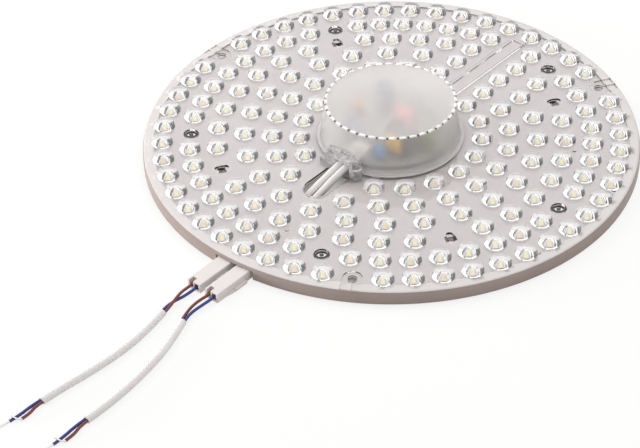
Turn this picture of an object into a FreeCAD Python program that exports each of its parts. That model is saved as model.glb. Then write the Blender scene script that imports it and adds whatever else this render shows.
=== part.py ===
import FreeCAD, Part
import math
import os

os.makedirs("parts", exist_ok=True)
V = FreeCAD.Vector

# Heights of the flat layers, in millimetres above the surface that the magnets stand on
board_underside = 6.9
board_thickness = 0.8
led_gap = 0.7
plate_thickness = 1.6
skirt_lift = 1.1
board_top = board_underside + board_thickness
plate_underside = board_top + led_gap
plate_top = plate_underside + plate_thickness

# Lens cover
rim_radius = 162.2
skirt_draft = 0.7
skirt_wall = 1.6
edge_bevel = 0.5
rim_step = 0.45
rim_step_height = 6.2
lens_height = 4.5
lens_sides = 8
sink = 0.2
board_rib_width = 1.4

# Lens rings between the driver cover and the rim, and the angles in degrees of what stands
# between their lenses
cover_top_radius = 43.2
cover_base_radius = cover_top_radius + 1.8
ring_a_radius = rim_radius - 12.2
ring_f_radius = cover_base_radius + 15.0
ring_pitch = (ring_a_radius - ring_f_radius) / 5
lens_spacing = 3.6
lens_radius = (ring_pitch - lens_spacing) / 2
ring_b_radius = ring_a_radius - ring_pitch
ring_c_radius = ring_b_radius - ring_pitch
ring_d_radius = ring_c_radius - ring_pitch
ring_e_radius = ring_d_radius - ring_pitch
fixing_angles = [60.0, 180.0, 300.0]
magnet_angles = [2.1, 74.1, 146.1, 218.1, 290.1]
hook_angles = [57.7, 147.7, 237.7, 327.7]

# Fixing holes, each in a pocket that is open to the rim
fixing_hole_radius = 3.0
pocket_width = 12.5
pocket_depth = 0.9
pocket_rib = 1.3

# Magnet posts: cups moulded into the lens cover
post_circle_radius = ring_b_radius - 0.5
post_radius = 5.0
post_floor = 2.8
post_wall = 1.0
screw_shank_radius = 1.3
screw_head_radius = 2.3
screw_head_height = 1.5
screw_clearance = 0.15
screw_boss_wall = 1.4
screw_boss_drop = 1.6
pot_radius = 9.0
pot_height = 3.9
pot_wall = 1.2
pot_web = 1.2
magnet_hole_radius = 2.0
magnet_recess = 0.1

# Snap hooks that hold the lamp board, seen through slots in the cover
hook_circle_radius = ring_c_radius + 1.0
hook_slot_length = 9.6
hook_slot_width = 4.6
hook_thickness = 1.1
hook_barb = 0.7
hook_barb_height = 1.2

# Driver cover
cover_height = 26.9
cover_wall = 1.5
cover_foot_radius = cover_base_radius + 3.2
cover_foot_thickness = 1.1
cover_edge = 0.8
driver_window_radius = cover_base_radius - 5.0
tooth_count = 40
tooth_ridge = 1.7
tooth_height = 0.7
tooth_gap = 2.2
tab_angles = [297.0, 57.0, 177.0]
tab_radius = cover_base_radius + 1.2
tab_width = 5.5
tab_thickness = 1.2
tab_barb = 0.8
tab_barb_height = 0.9
fit_clearance = 0.2

# Clamp over the cables
clamp_left = -12.6
clamp_right = 12.2
clamp_back = cover_base_radius + 0.3
clamp_front = clamp_back + 7.3
clamp_rise = 10.2
clamp_ear = 4.6
clamp_ear_rise = 3.0
clamp_boss_x = 12.4
clamp_boss_y = 1.6 - clamp_front
clamp_boss_radius = 4.4
clamp_boss_rise = 7.4
clamp_tongue = 1.4
clamp_tongue_width = 3.0
clamp_wall = 1.6
clamp_screw_depth = 0.4
clamp_roof = 2.35
tunnel_clearance = 0.9
tunnel_headroom = 0.05

# Wire slot, raised channel and moulding marks
slot_centre_x = 0.5
slot_width = 18.0
slot_inner = clamp_front + 1.4
slot_outer = slot_inner + 30.2
channel_centre_x = 0.8
channel_width = 11.6
channel_rise = 1.1
channel_end = ring_a_radius - 9.0
nub_radius = 1.4
nub_height = 0.8
nub_angles = [29.6, 276.7]
nub_circle_radius = ring_b_radius - 11.4

# Skirt opening for the connectors
exit_centre_x = 7.4
exit_width = 29.0
exit_clearance = 0.6

# Lamp board and lamp chips
board_radius = rim_radius - 5.2
chip_length = 3.5
chip_width = 2.8
chip_height = 0.65
chip_turn = 40.3
warm_every = 4

# Driver board and what stands on it
driver_board_margin = 3.2
driver_board_radius = cover_top_radius - cover_wall - driver_board_margin
driver_board_thickness = 1.6
spacer_height = 3.3
spacer_radius = 2.6
spacer_circle = driver_board_radius - 4.0
spacer_angles = [20.0, 140.0, 225.0]
board_screw_radius = 1.2
board_screw_head = 2.2
board_screw_head_height = 1.2
transformer_at = (19.0, -13.5)
core_length = 18.0
core_depth = 9.0
core_height = 18.0
core_limb = 3.6
winding_margin = 3.6
bulk_capacitor_at = (-16.0, 14.0)
bulk_capacitor_radius = 6.3
bulk_capacitor_height = 21.0
output_capacitor_places = [(-19.5, -17.5), (-9.5, -21.5)]
output_capacitor_radius = 4.0
output_capacitor_height = 14.0
film_capacitor_at = (8.0, 5.0)
film_capacitor_size = (13.0, 8.0, 17.0)
safety_capacitor_at = (14.0, -29.0)
safety_capacitor_radius = 4.6
safety_capacitor_thickness = 3.4
ring_choke_at = (29.5, -0.5)
ring_choke_radius = 6.6
ring_choke_thickness = 6.0
output_choke_at = (-24.0, -4.0)
output_choke_radius = 5.0
output_choke_height = 13.0
output_choke_flange = 1.4
fuse_at = (16.0, 24.0)
fuse_size = (8.2, 3.2, 7.8)
rectifier_at = (-1.0, 28.0)
rectifier_size = (9.0, 6.5, 2.6)
control_module_at = (24.0, 14.0)
control_module_size = (1.0, 11.0, 15.0)
terminal_size = (12.0, 7.0, 8.0)
driver_base = board_top + spacer_height
driver_top = driver_base + driver_board_thickness

# Connectors
connector_left_x = 0.2
connector_right_x = 14.6
socket_front = rim_radius
socket_rear = socket_front - 21.2
socket_width = 8.0
socket_height = 5.0
shell_start = rim_radius - 7.2
shell_end = shell_start + 35.5
shell_width = 10.4
shell_height = 6.7
shell_corner = 0.4
mouth_depth = 9.0
wire_pocket_depth = 4.0
wire_pocket_width = 3.2
wire_height = 3.3
latch_reach = 1.5
latch_start = shell_start + 10.5
latch_step = shell_start + 21.0
latch_end = shell_start + 29.0
contact_radius = 0.7
wire_bore_depth = 3.0
wire_bore_clearance = 0.05
socket_flange = 0.9
shell_roof = 0.9
latch_foot = 0.6
latch_height = 2.0

# Cables that the lamp holds, and the wires in them
cable_radius = 2.4
wire_radius = 0.95
strand_radius = 0.5
wire_pitch = 4.2
cable_height = plate_top + clamp_rise - clamp_roof - tunnel_headroom - cable_radius
cable_arch_height = cable_height + cable_radius + 0.4
cable_start = -clamp_back + 9.8
cable_left = [
    (-0.4, cable_start, cable_height),
    (-0.4, -clamp_front - 0.4, cable_height),
    (-4.6, -slot_outer + 4.2, 3.2),
    (-5.0, -slot_outer - 11.8, 2.9),
    (-1.4, -socket_rear + 31.0, 2.9),
    (0.2, -socket_rear + 19.0, 2.9),
    (0.2, -socket_rear + 8.0, 2.9),
]
cable_right = [
    (4.7, cable_start, cable_height),
    (4.7, -clamp_front - 0.4, cable_height),
    (1.2, -slot_outer + 4.2, 3.2),
    (3.4, -slot_outer - 10.8, 2.9),
    (10.6, -socket_rear + 33.0, 2.9),
    (14.6, -socket_rear + 20.0, 2.9),
    (14.6, -socket_rear + 8.0, 2.9),
]

# Free leads: routes of the white sheaths and of the wires at their ends, with each point's Y
# measured from the end of the connectors
sheath_left = [
    (1.6, -29.0, 2.4),
    (5.9, -49.5, 2.4),
    (7.0, -72.5, 2.4),
    (5.2, -95.5, 2.4),
    (2.4, -116.5, 2.4),
    (1.5, -129.5, 2.4),
]
sheath_right = [
    (16.8, -27.8, 2.4),
    (25.0, -49.0, 2.4),
    (29.6, -71.0, 2.4),
    (32.3, -92.5, 2.4),
    (33.1, -111.5, 2.4),
    (32.8, -124.5, 2.4),
]
brown_left = [
    (-1.9, 4.0, 3.3),
    (-1.9, -2.5, 3.3),
    (-1.2, -9.8, 4.3),
    (0.5, -17.1, 4.0),
    (1.58, -23.89, 2.4),
    (2.61, -28.79, 2.4),
]
blue_left = [
    (2.3, 4.0, 3.3),
    (2.3, -2.5, 3.3),
    (1.2, -9.9, 2.3),
    (-0.8, -17.2, 1.9),
    (-0.44, -24.31, 2.4),
    (0.59, -29.21, 2.4),
]
brown_right = [
    (12.5, 4.0, 3.3),
    (12.5, -2.5, 3.3),
    (12.0, -9.7, 3.6),
    (12.5, -16.8, 3.2),
    (14.08, -23.48, 2.4),
    (15.89, -28.15, 2.4),
]
blue_right = [
    (16.7, 4.0, 3.3),
    (16.7, -2.5, 3.3),
    (15.9, -9.7, 2.9),
    (15.2, -16.6, 2.5),
    (15.9, -22.78, 2.4),
    (17.71, -27.45, 2.4),
]
brown_left_tail = [
    (2.48, -129.57, 2.4),
    (2.11, -135.0, 2.4),
    (3.3, -140.7, 1.7),
    (2.4, -145.9, 1.1),
]
blue_left_tail = [
    (0.52, -129.43, 2.4),
    (0.01, -136.8, 2.4),
    (-0.4, -144.5, 1.5),
    (-1.6, -151.9, 1.0),
]
brown_right_tail = [
    (33.78, -124.52, 2.4),
    (33.64, -130.5, 2.4),
    (35.2, -136.7, 1.7),
    (34.6, -142.8, 1.1),
]
blue_right_tail = [
    (31.82, -124.48, 2.4),
    (31.63, -132.7, 2.4),
    (31.9, -141.1, 1.6),
    (31.4, -149.3, 1.0),
]
strand_brown_left = [
    (2.4, -145.9, 1.1),
    (1.9, -147.7, 1.3),
    (-0.2, -149.1, 2.6),
    (-2.2, -149.7, 3.0),
]
strand_blue_left = [(-1.6, -151.9, 1.0), (-2.1, -155.1, 0.85), (-2.9, -158.2, 0.65)]
strand_brown_right = [
    (34.6, -142.8, 1.1),
    (34.0, -144.7, 1.3),
    (31.9, -146.2, 2.9),
    (29.9, -146.7, 3.1),
]
strand_blue_right = [(31.4, -149.3, 1.0), (31.1, -152.3, 0.85), (30.5, -155.3, 0.65)]


# Plain solids
def disc(radius, low, high, x=0.0, y=0.0):
    return Part.makeCylinder(radius, high - low, V(x, y, low))


def block(x0, x1, y0, y1, z0, z1):
    return Part.makeBox(x1 - x0, y1 - y0, z1 - z0, V(x0, y0, z0))


def revolved(profile):
    points = [V(r, 0, z) for r, z in profile]
    face = Part.Face(Part.makePolygon(points + [points[0]]))
    return face.revolve(V(0, 0, 0), V(0, 0, 1), 360)


def turned(shape, degrees):
    copy = shape.copy()
    copy.rotate(V(0, 0, 0), V(0, 0, 1), degrees)
    return copy


def around(radius, degrees):
    angle = math.radians(degrees)
    return radius * math.cos(angle), radius * math.sin(angle)


def slot_prism(length, width, low, high):
    """An upright prism with round ends, its long side along X, centred on the origin."""
    reach = (length - width) / 2
    body = block(-reach, reach, -width / 2, width / 2, low, high)
    ends = [disc(width / 2, low, high, x) for x in (-reach, reach)]
    return body.fuse(ends).removeSplitter()


def export(shape, name):
    assert shape.isValid(), name
    shape.exportStep("parts/" + name + ".step")


def group(solids):
    return Part.makeCompound(solids)


# Where the lenses and lamp chips sit
def lens_angles():
    """Each ring's radius with the angles of its lenses, in degrees."""
    step_a = 360.0 / 51
    ring_a = [60 + step_a * k for k in range(51) if k % 17]
    ring_b = []
    for start in magnet_angles:
        if start == magnet_angles[1]:
            ring_b += [start + 8] + [magnet_angles[2] - 7 * k for k in range(7, 0, -1)]
        else:
            ring_b += [start + 8 * k for k in range(1, 9)]
    ring_c = []
    for start in hook_angles:
        if start == hook_angles[0]:
            ring_c += [start + 11.25, start + 22.5]
            ring_c += [hook_angles[1] - 9.6 * k for k in range(5, 0, -1)]
        else:
            ring_c += [start + 11.25 * k for k in range(1, 8)]
    ring_d = [100.8 + (360 - 21.6) / 23 * k for k in range(24)]
    ring_e = [104 + (360 - 28) / 20 * k for k in range(21) if k != 10]
    ring_f = [108.1 + (360 - 36.2) / 17 * k for k in range(18) if k not in (8, 9)]
    return [
        (ring_a_radius, ring_a),
        (ring_b_radius, ring_b),
        (ring_c_radius, ring_c),
        (ring_d_radius, ring_d),
        (ring_e_radius, ring_e),
        (ring_f_radius, ring_f),
    ]


def lens_places():
    return [(r, a) for r, angles in lens_angles() for a in angles]


def lens_dome():
    """A low dome in two rows of facets, its foot a little below the plate's top."""
    shoulder_radius = 0.66 * lens_radius
    shoulder_height = 0.72 * lens_height
    foot = plate_top - sink
    turn = 2 * math.pi / lens_sides

    def ring(radius, z):
        return [V(radius * math.cos(turn * k), radius * math.sin(turn * k), z) for k in range(lens_sides)]

    low, base = ring(lens_radius, foot), ring(lens_radius, plate_top)
    shoulder = ring(shoulder_radius, plate_top + shoulder_height)
    top = V(0, 0, plate_top + lens_height)
    faces = [Part.Face(Part.makePolygon(low + [low[0]]))]
    for k in range(lens_sides):
        n = (k + 1) % lens_sides
        faces.append(Part.Face(Part.makePolygon([low[k], low[n], base[n], base[k], low[k]])))
        faces.append(Part.Face(Part.makePolygon([base[k], base[n], shoulder[n], shoulder[k], base[k]])))
        faces.append(Part.Face(Part.makePolygon([shoulder[k], shoulder[n], top, shoulder[k]])))
    return Part.makeSolid(Part.makeShell(faces))


# Lens cover: a clear plate and skirt in one moulding, with its lenses, posts and hooks
def cover_body():
    foot = rim_radius + skirt_draft
    inner = foot - rim_step - skirt_wall
    return revolved(
        [
            (driver_window_radius, plate_underside),
            (inner, plate_underside),
            (inner, skirt_lift),
            (foot, skirt_lift),
            (foot - 0.1, skirt_lift + rim_step_height),
            (foot - 0.1 - rim_step, skirt_lift + rim_step_height + rim_step),
            (rim_radius, plate_top - edge_bevel),
            (rim_radius - edge_bevel, plate_top),
            (driver_window_radius, plate_top),
        ]
    )


def board_rib():
    ring = disc(board_radius, board_top, plate_underside)
    return ring.cut(disc(board_radius - board_rib_width, board_top, plate_underside))


def magnet_post():
    """A hollow post at +X: its floor carries the screw head and its foot the magnet's pot."""
    x = post_circle_radius
    return disc(post_radius, pot_height, plate_top - sink, x)


def magnet_post_hollow():
    x = post_circle_radius
    cup = disc(post_radius - post_wall, pot_height + post_floor, plate_top + 1, x)
    hole = disc(screw_shank_radius + screw_clearance, 0, plate_top, x)
    return cup.fuse(hole)


def hook_slot():
    slot = slot_prism(hook_slot_length, hook_slot_width, plate_underside - 1, plate_top + 1)
    slot.translate(V(hook_circle_radius, 0, 0))
    return slot


def hook_pair():
    """Two fingers beside a slot: they go down through the lamp board and catch its underside."""
    half = hook_slot_length / 4
    inner = hook_slot_width / 2
    outer = inner + hook_thickness
    x0, x1 = hook_circle_radius - half, hook_circle_radius + half
    fingers = []
    for side in (-1, 1):
        low, high = sorted((side * inner, side * outer))
        finger = block(x0, x1, low, high, board_underside - hook_barb_height, plate_underside)
        low, high = sorted((side * outer, side * (outer + hook_barb)))
        barb = block(x0, x1, low, high, board_underside - hook_barb_height, board_underside)
        fingers.append(finger.fuse(barb))
    return fingers


def fixing_pocket():
    """A U-shaped pocket at +X, open to the rim, with a thin rib left along its middle."""
    x = ring_a_radius
    low = plate_top - pocket_depth
    reach = rim_radius + skirt_draft + 1
    pocket = disc(pocket_width / 2, low, plate_top + 1, x)
    pocket = pocket.fuse(block(x, reach, -pocket_width / 2, pocket_width / 2, low, plate_top + 1))
    rib = block(x, reach, -pocket_rib / 2, pocket_rib / 2, low - 1, plate_top + 1)
    return pocket.cut(rib)


def wire_slot(margin):
    """The opening for the two cables, round at its outer end; margin makes it larger."""
    half = slot_width / 2 + margin
    low, high = board_underside - 1, plate_top + channel_rise + 1
    straight = block(
        slot_centre_x - half,
        slot_centre_x + half,
        -(slot_outer - slot_width / 2),
        -(slot_inner - margin),
        low,
        high,
    )
    end = disc(half, low, high, slot_centre_x, -(slot_outer - slot_width / 2))
    return straight.fuse(end)


def channel():
    half = channel_width / 2
    x0, x1 = channel_centre_x - half, channel_centre_x + half
    start = cover_foot_radius + fit_clearance
    return block(x0, x1, start, channel_end, plate_top - sink, plate_top + channel_rise)


def channel_hollow():
    half = channel_width / 2 - plate_thickness
    x0, x1 = channel_centre_x - half, channel_centre_x + half
    start = cover_foot_radius + fit_clearance
    top = plate_underside + channel_rise
    return block(x0, x1, start, channel_end - plate_thickness, board_top, top)


def tab_slot(margin):
    """An upright opening at +X for one of the driver cover's tabs."""
    half_t = tab_thickness / 2 + margin
    half_w = tab_width / 2 + margin
    slot = block(-half_t, half_t + tab_barb, -half_w, half_w, board_underside - 1, plate_top + 1)
    slot.translate(V(tab_radius, 0, 0))
    return slot


def clamp_tongue_slot(margin):
    x = clamp_left - clamp_ear / 2
    y = -(clamp_back + clamp_front) / 2
    half_x = clamp_tongue / 2 + margin
    half_y = clamp_tongue_width / 2 + margin
    return block(x - half_x, x + half_x, y - half_y, y + half_y, plate_underside - 1, plate_top + 1)


def clamp_screw_boss():
    radius = screw_shank_radius + screw_boss_wall
    return disc(radius, board_underside - screw_boss_drop, plate_underside, clamp_boss_x, clamp_boss_y)


def clamp_screw_hole():
    return disc(screw_shank_radius, board_underside - 2, plate_top + 1, clamp_boss_x, clamp_boss_y)


def skirt_exit():
    half = exit_width / 2
    x0, x1 = exit_centre_x - half, exit_centre_x + half
    reach = rim_radius + skirt_draft + 1
    return block(x0, x1, -reach, -board_radius, 0, shell_height + exit_clearance)


def lens_cover():
    body = cover_body()
    added = [board_rib(), channel(), clamp_screw_boss()]
    added += [turned(magnet_post(), a) for a in magnet_angles]
    for a in hook_angles:
        added += [turned(finger, a) for finger in hook_pair()]
    for angle in nub_angles:
        x, y = around(nub_circle_radius, angle)
        added.append(disc(nub_radius, plate_top - sink, plate_top + nub_height, x, y))
    body = body.fuse(added)
    cut = [wire_slot(0), channel_hollow(), skirt_exit()]
    cut += [clamp_screw_hole(), clamp_tongue_slot(fit_clearance)]
    cut += [turned(magnet_post_hollow(), a) for a in magnet_angles]
    cut += [turned(hook_slot(), a) for a in hook_angles]
    cut += [turned(tab_slot(fit_clearance), a) for a in tab_angles]
    for a in fixing_angles:
        cut.append(turned(fixing_pocket(), a))
        cut.append(turned(disc(fixing_hole_radius, 0, plate_top + 1, ring_a_radius), a))
    body = body.cut(cut)
    domes = []
    prototype = lens_dome()
    for radius, angle in lens_places():
        dome = prototype.copy()
        dome.translate(V(radius, 0, 0))
        domes.append(turned(dome, angle))
    return body.fuse(domes)


# Lamp board: one white disc with holes for what passes through it
def led_board():
    board = disc(board_radius - fit_clearance, board_underside, board_top)
    cut = [wire_slot(fit_clearance)]
    cut += [turned(disc(fixing_hole_radius, 0, plate_top, ring_a_radius), a) for a in fixing_angles]
    hole = disc(post_radius + fit_clearance, 0, plate_top, post_circle_radius)
    cut += [turned(hole, a) for a in magnet_angles]
    half_x = hook_slot_length / 4 + fit_clearance
    half_y = hook_slot_width / 2 + hook_thickness + fit_clearance
    x = hook_circle_radius
    window = block(x - half_x, x + half_x, -half_y, half_y, 0, plate_top)
    cut += [turned(window, a) for a in hook_angles]
    cut += [turned(tab_slot(fit_clearance), a) for a in tab_angles]
    boss = screw_shank_radius + screw_boss_wall + fit_clearance
    cut.append(disc(boss, 0, plate_top, clamp_boss_x, clamp_boss_y))
    return board.cut(cut)


def lamp_chips(warm):
    """The lamp chips of one colour, as separate bodies; every few places one is warm."""
    chips = []
    for index, (radius, angle) in enumerate(lens_places()):
        if (index % warm_every == 2) != warm:
            continue
        half_x, half_y = chip_width / 2, chip_length / 2
        chip = block(-half_x, half_x, -half_y, half_y, board_top, board_top + chip_height)
        chip = turned(chip, chip_turn)
        x, y = around(radius, angle)
        chip.translate(V(x, y, 0))
        chips.append(chip)
    return group(chips)


# Driver cover: a frosted cap with a toothed edge, a foot and three snap tabs
def driver_cover():
    top = plate_top + cover_height
    foot_top = plate_top + cover_foot_thickness
    outer = [
        (0, top),
        (cover_top_radius - cover_edge, top),
        (cover_top_radius, top - cover_edge),
        (cover_base_radius, foot_top + 1.2),
        (cover_base_radius + 0.9, foot_top + 0.3),
        (cover_foot_radius, plate_top + 0.4),
        (cover_foot_radius, plate_top),
        (cover_base_radius - cover_wall, plate_top),
        (cover_top_radius - cover_wall, top - cover_wall),
        (0, top - cover_wall),
    ]
    shell = revolved(outer)
    ridge = disc(cover_top_radius - cover_edge, top, top + tooth_height)
    ridge = ridge.cut(disc(cover_top_radius - tooth_ridge, top, top + tooth_height))
    gap = block(
        cover_top_radius - tooth_ridge - 1,
        cover_top_radius + 1,
        -tooth_gap / 2,
        tooth_gap / 2,
        top,
        top + tooth_height + 1,
    )
    ridge = ridge.cut([turned(gap, 360.0 / tooth_count * k) for k in range(tooth_count)])
    shell = shell.fuse(ridge.Solids)
    shell = shell.fuse([turned(cover_tab(), a) for a in tab_angles])
    return shell.cut(cable_arch())


def cover_tab():
    half = tab_thickness / 2
    x = tab_radius
    low = board_underside - tab_barb_height - 0.05
    tab = block(x - half, x + half, -tab_width / 2, tab_width / 2, low, plate_top + 0.3)
    barb = block(x + half, x + half + tab_barb, -tab_width / 2, tab_width / 2, low, board_underside - 0.05)
    return tab.fuse(barb)


def cable_middle():
    return (cable_left[0][0] + cable_right[0][0]) / 2


def cable_span():
    return cable_right[0][0] - cable_left[0][0] + 2 * cable_radius


def cable_arch():
    half = cable_span() / 2 + fit_clearance
    x = cable_middle()
    back = -cover_top_radius + 6
    return block(x - half, x + half, -cover_foot_radius - 1, back, plate_top - 1, cable_arch_height)


# Clamp: a clear bridge over the cables with an ear, a tongue and a screw boss
def wire_clamp():
    top = plate_top + clamp_rise
    body = block(clamp_left, clamp_right, -clamp_front, -clamp_back, plate_top, top)
    half = cable_span() / 2 + tunnel_clearance
    x = cable_middle()
    tunnel_top = cable_height + cable_radius + tunnel_headroom
    tunnel = block(x - half, x + half, -clamp_front - 1, -clamp_back + 1, plate_top - 1, tunnel_top)
    foot = disc(cover_foot_radius + fit_clearance, plate_top - 1, plate_top + cover_foot_thickness + 1.4)
    window = block(
        clamp_left + clamp_wall,
        x - half - clamp_wall,
        -clamp_front + clamp_wall,
        -clamp_back - clamp_wall,
        plate_top + clamp_wall,
        top + 1,
    )
    ear_top = plate_top + clamp_ear_rise
    ear = block(clamp_left - clamp_ear, clamp_left, -clamp_front + 1, -clamp_back - 1, plate_top, ear_top)
    tongue_depth = block(-rim_radius, rim_radius, -rim_radius, 0, plate_underside, plate_top + sink)
    tongue = clamp_tongue_slot(0).common(tongue_depth)
    boss = disc(clamp_boss_radius, plate_top, plate_top + clamp_boss_rise, clamp_boss_x, clamp_boss_y)
    body = body.cut([window]).fuse([ear, tongue, boss])
    screw = disc(screw_shank_radius + screw_clearance, 0, top + 1, clamp_boss_x, clamp_boss_y)
    seat = disc(
        screw_head_radius + screw_clearance,
        clamp_screw_seat(),
        top + 1,
        clamp_boss_x,
        clamp_boss_y,
    )
    rib = block(x - 0.5, x + 0.5, -clamp_front - 1.2, -clamp_back, tunnel_top, top)
    lip = block(clamp_left, clamp_right - 6, -clamp_back - 1.4, -clamp_back, top - 0.1, top + 1.1)
    return body.cut([tunnel, foot, screw, seat]).fuse([rib, lip])


def screw(head_low, tip, x, y, head_radius, head_height, shank_radius):
    """A pan head screw: its head's seat is at head_low and its point at tip."""
    head = disc(head_radius, head_low, head_low + head_height, x, y)
    return head.fuse(disc(shank_radius, tip, head_low, x, y))


def clamp_screw_seat():
    return plate_top + clamp_boss_rise - screw_head_height - clamp_screw_depth


def clamp_screw():
    return screw(
        clamp_screw_seat(),
        board_underside - screw_boss_drop,
        clamp_boss_x,
        clamp_boss_y,
        screw_head_radius,
        screw_head_height,
        screw_shank_radius,
    )


# Magnets: a ring magnet in a steel pot under each post, held by a screw from above
def magnet_pot():
    x = post_circle_radius
    pot = disc(pot_radius, 0, pot_height, x)
    hollow = disc(pot_radius - pot_wall, -1, pot_height - pot_web, x)
    return pot.cut([hollow, disc(screw_shank_radius, -1, pot_height + 1, x)])


def ring_magnet():
    x = post_circle_radius
    top = pot_height - pot_web
    ring = disc(pot_radius - pot_wall - 0.05, magnet_recess, top, x)
    return ring.cut(disc(magnet_hole_radius, -1, top + 1, x))


def magnet_screw():
    x = post_circle_radius
    return screw(
        pot_height + post_floor, 0.4, x, 0, screw_head_radius, screw_head_height, screw_shank_radius
    )


def all_round(shape, angles):
    return group([turned(shape, a) for a in angles])


# Driver board on three spacers, each with a screw
def driver_board():
    board = disc(driver_board_radius, driver_base, driver_top)
    hole = disc(board_screw_radius + 0.1, 0, driver_top + 1, spacer_circle)
    return board.cut([turned(hole, a) for a in spacer_angles])


def spacer():
    post = disc(spacer_radius, board_top, driver_base, spacer_circle)
    return post.cut(disc(board_screw_radius, board_top + 0.6, driver_base + 1, spacer_circle))


def board_screw():
    return screw(
        driver_top,
        board_top + 0.8,
        spacer_circle,
        0,
        board_screw_head,
        board_screw_head_height,
        board_screw_radius,
    )


def boxed(x, y, length, width, height, lift=0.0):
    low = driver_top + lift
    return block(x - length / 2, x + length / 2, y - width / 2, y + width / 2, low, low + height)


def drum(x, y, radius, height, lift=0.0):
    return disc(radius, driver_top + lift, driver_top + lift + height, x, y)


def transformer_core():
    """A ferrite core with two windows; the winding goes round its middle limb."""
    body = boxed(*transformer_at, core_length, core_depth, core_height)
    window = (core_length - 3 * core_limb) / 2
    shift = core_limb / 2 + window / 2
    x, y = transformer_at
    height = core_height - 2 * core_limb
    holes = [boxed(x + s * shift, y, window, core_depth + 1, height, core_limb) for s in (-1, 1)]
    return body.cut(holes)


def transformer_winding():
    window = (core_length - 3 * core_limb) / 2
    outer = boxed(
        *transformer_at,
        core_limb + 2 * window - 0.2,
        core_depth + 2 * winding_margin,
        core_height - 2 * core_limb - 0.2,
        core_limb + 0.1,
    )
    inner = boxed(*transformer_at, core_limb + 0.2, core_depth + 0.2, core_height, 0)
    return outer.cut(inner)


def bobbin_feet():
    """Two plastic legs that stand the winding on the board."""
    window = (core_length - 3 * core_limb) / 2
    width = core_limb + 2 * window - 0.2
    reach = core_depth / 2 + winding_margin / 2 + 0.1
    depth = winding_margin - 0.4
    return group(
        [
            boxed(transformer_at[0], transformer_at[1] + s * reach, width, depth, core_limb + 0.1)
            for s in (-1, 1)
        ]
    )


def electrolytic(x, y, radius, height):
    """A capacitor can with a rolled groove near its foot."""
    can = drum(x, y, radius, height)
    groove = drum(x, y, radius + 1, 0.8, 1.4).cut(drum(x, y, radius - 0.4, 0.8, 1.4))
    vent = [
        boxed(x, y, 1.4 * radius, 0.4, 1.0, height - 0.3),
        boxed(x, y, 0.4, 1.4 * radius, 1.0, height - 0.3),
    ]
    return can.cut([groove] + vent)


def output_capacitors():
    size = (output_capacitor_radius, output_capacitor_height)
    return group([electrolytic(x, y, *size) for x, y in output_capacitor_places])


def safety_capacitor():
    """A round ceramic body on edge, on two short legs."""
    x, y = safety_capacitor_at
    radius = safety_capacitor_radius
    start = V(x, y - safety_capacitor_thickness / 2, driver_top + radius + 1.0)
    body = Part.makeCylinder(radius, safety_capacitor_thickness, start, V(0, 1, 0))
    legs = [drum(x + s * 0.55 * radius, y, 0.4, 1.0 + radius) for s in (-1, 1)]
    return body.fuse(legs)


def ring_choke():
    """A wound ring on edge, its foot on the board."""
    x, y = ring_choke_at
    radius = ring_choke_radius
    start = V(x, y - ring_choke_thickness / 2, driver_top + radius)
    ring = Part.makeCylinder(radius, ring_choke_thickness, start, V(0, 1, 0))
    return ring.cut(Part.makeCylinder(0.4 * radius, ring_choke_thickness, start, V(0, 1, 0)))


def output_choke():
    """A drum core: two flanges with the winding between them."""
    x, y = output_choke_at
    core = drum(x, y, output_choke_radius - 0.6, output_choke_height)
    flange = output_choke_flange
    low = drum(x, y, output_choke_radius, flange)
    high = drum(x, y, output_choke_radius, flange, output_choke_height - flange)
    return core.fuse([low, high])


# Connectors: a shell on each free lead that takes the socket on the lamp's own cable
def socket_body(x):
    half = socket_width / 2
    low = (shell_height - socket_height) / 2
    body = block(x - half, x + half, -socket_front, -socket_rear, low, low + socket_height)
    wide = half + socket_flange
    end = -shell_start + fit_clearance
    body = body.fuse(block(x - wide, x + wide, end, -socket_rear, 0, shell_height - fit_clearance))
    bores = []
    for s in (-1, 1):
        wire_end = V(x + s * wire_pitch / 2, -socket_rear - wire_bore_depth, wire_height)
        wire_bore = wire_radius + wire_bore_clearance
        bores.append(Part.makeCylinder(wire_bore, wire_bore_depth, wire_end, V(0, 1, 0)))
        front = V(x + s * wire_pitch / 2, -socket_front, wire_height)
        bores.append(Part.makeCylinder(contact_radius, mouth_depth, front, V(0, 1, 0)))
    return body.cut(bores)


def plug_shell(x):
    half = shell_width / 2
    shell = block(x - half, x + half, -shell_end, -shell_start, 0, shell_height)
    upright = [
        e for e in shell.Edges if abs(e.Vertexes[0].Point.y - e.Vertexes[1].Point.y) > 1
    ]
    shell = shell.makeChamfer(shell_corner, upright)
    inner = socket_width / 2 + fit_clearance
    low = (shell_height - socket_height) / 2 - fit_clearance
    mouth = block(
        x - inner,
        x + inner,
        -shell_start - mouth_depth,
        -shell_start + 1,
        low,
        low + socket_height + 2 * fit_clearance,
    )
    pockets = [
        block(
            x + s * wire_pitch / 2 - wire_pocket_width / 2,
            x + s * wire_pitch / 2 + wire_pocket_width / 2,
            -shell_end - 1,
            -shell_end + wire_pocket_depth,
            wire_height - wire_pocket_width / 2,
            shell_height + 1 if s < 0 else shell_height - shell_roof,
        )
        for s in (-1, 1)
    ]
    wall = x + half
    latch_top = latch_foot + latch_height
    latch = block(wall - sink, wall + latch_reach, -latch_step, -latch_start, latch_foot, latch_top)
    reach = wall + 0.8 * latch_reach
    outline = [
        (wall - sink, -latch_end),
        (wall + sink, -latch_end),
        (reach, -latch_step - latch_reach),
        (reach, -latch_step + sink),
        (wall - sink, -latch_step + sink),
    ]
    corners = [V(px, py, latch_foot) for px, py in outline]
    ramp = Part.Face(Part.makePolygon(corners + [corners[0]])).extrude(V(0, 0, 0.7 * latch_height))
    return shell.cut([mouth] + pockets).fuse([latch, ramp])


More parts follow.
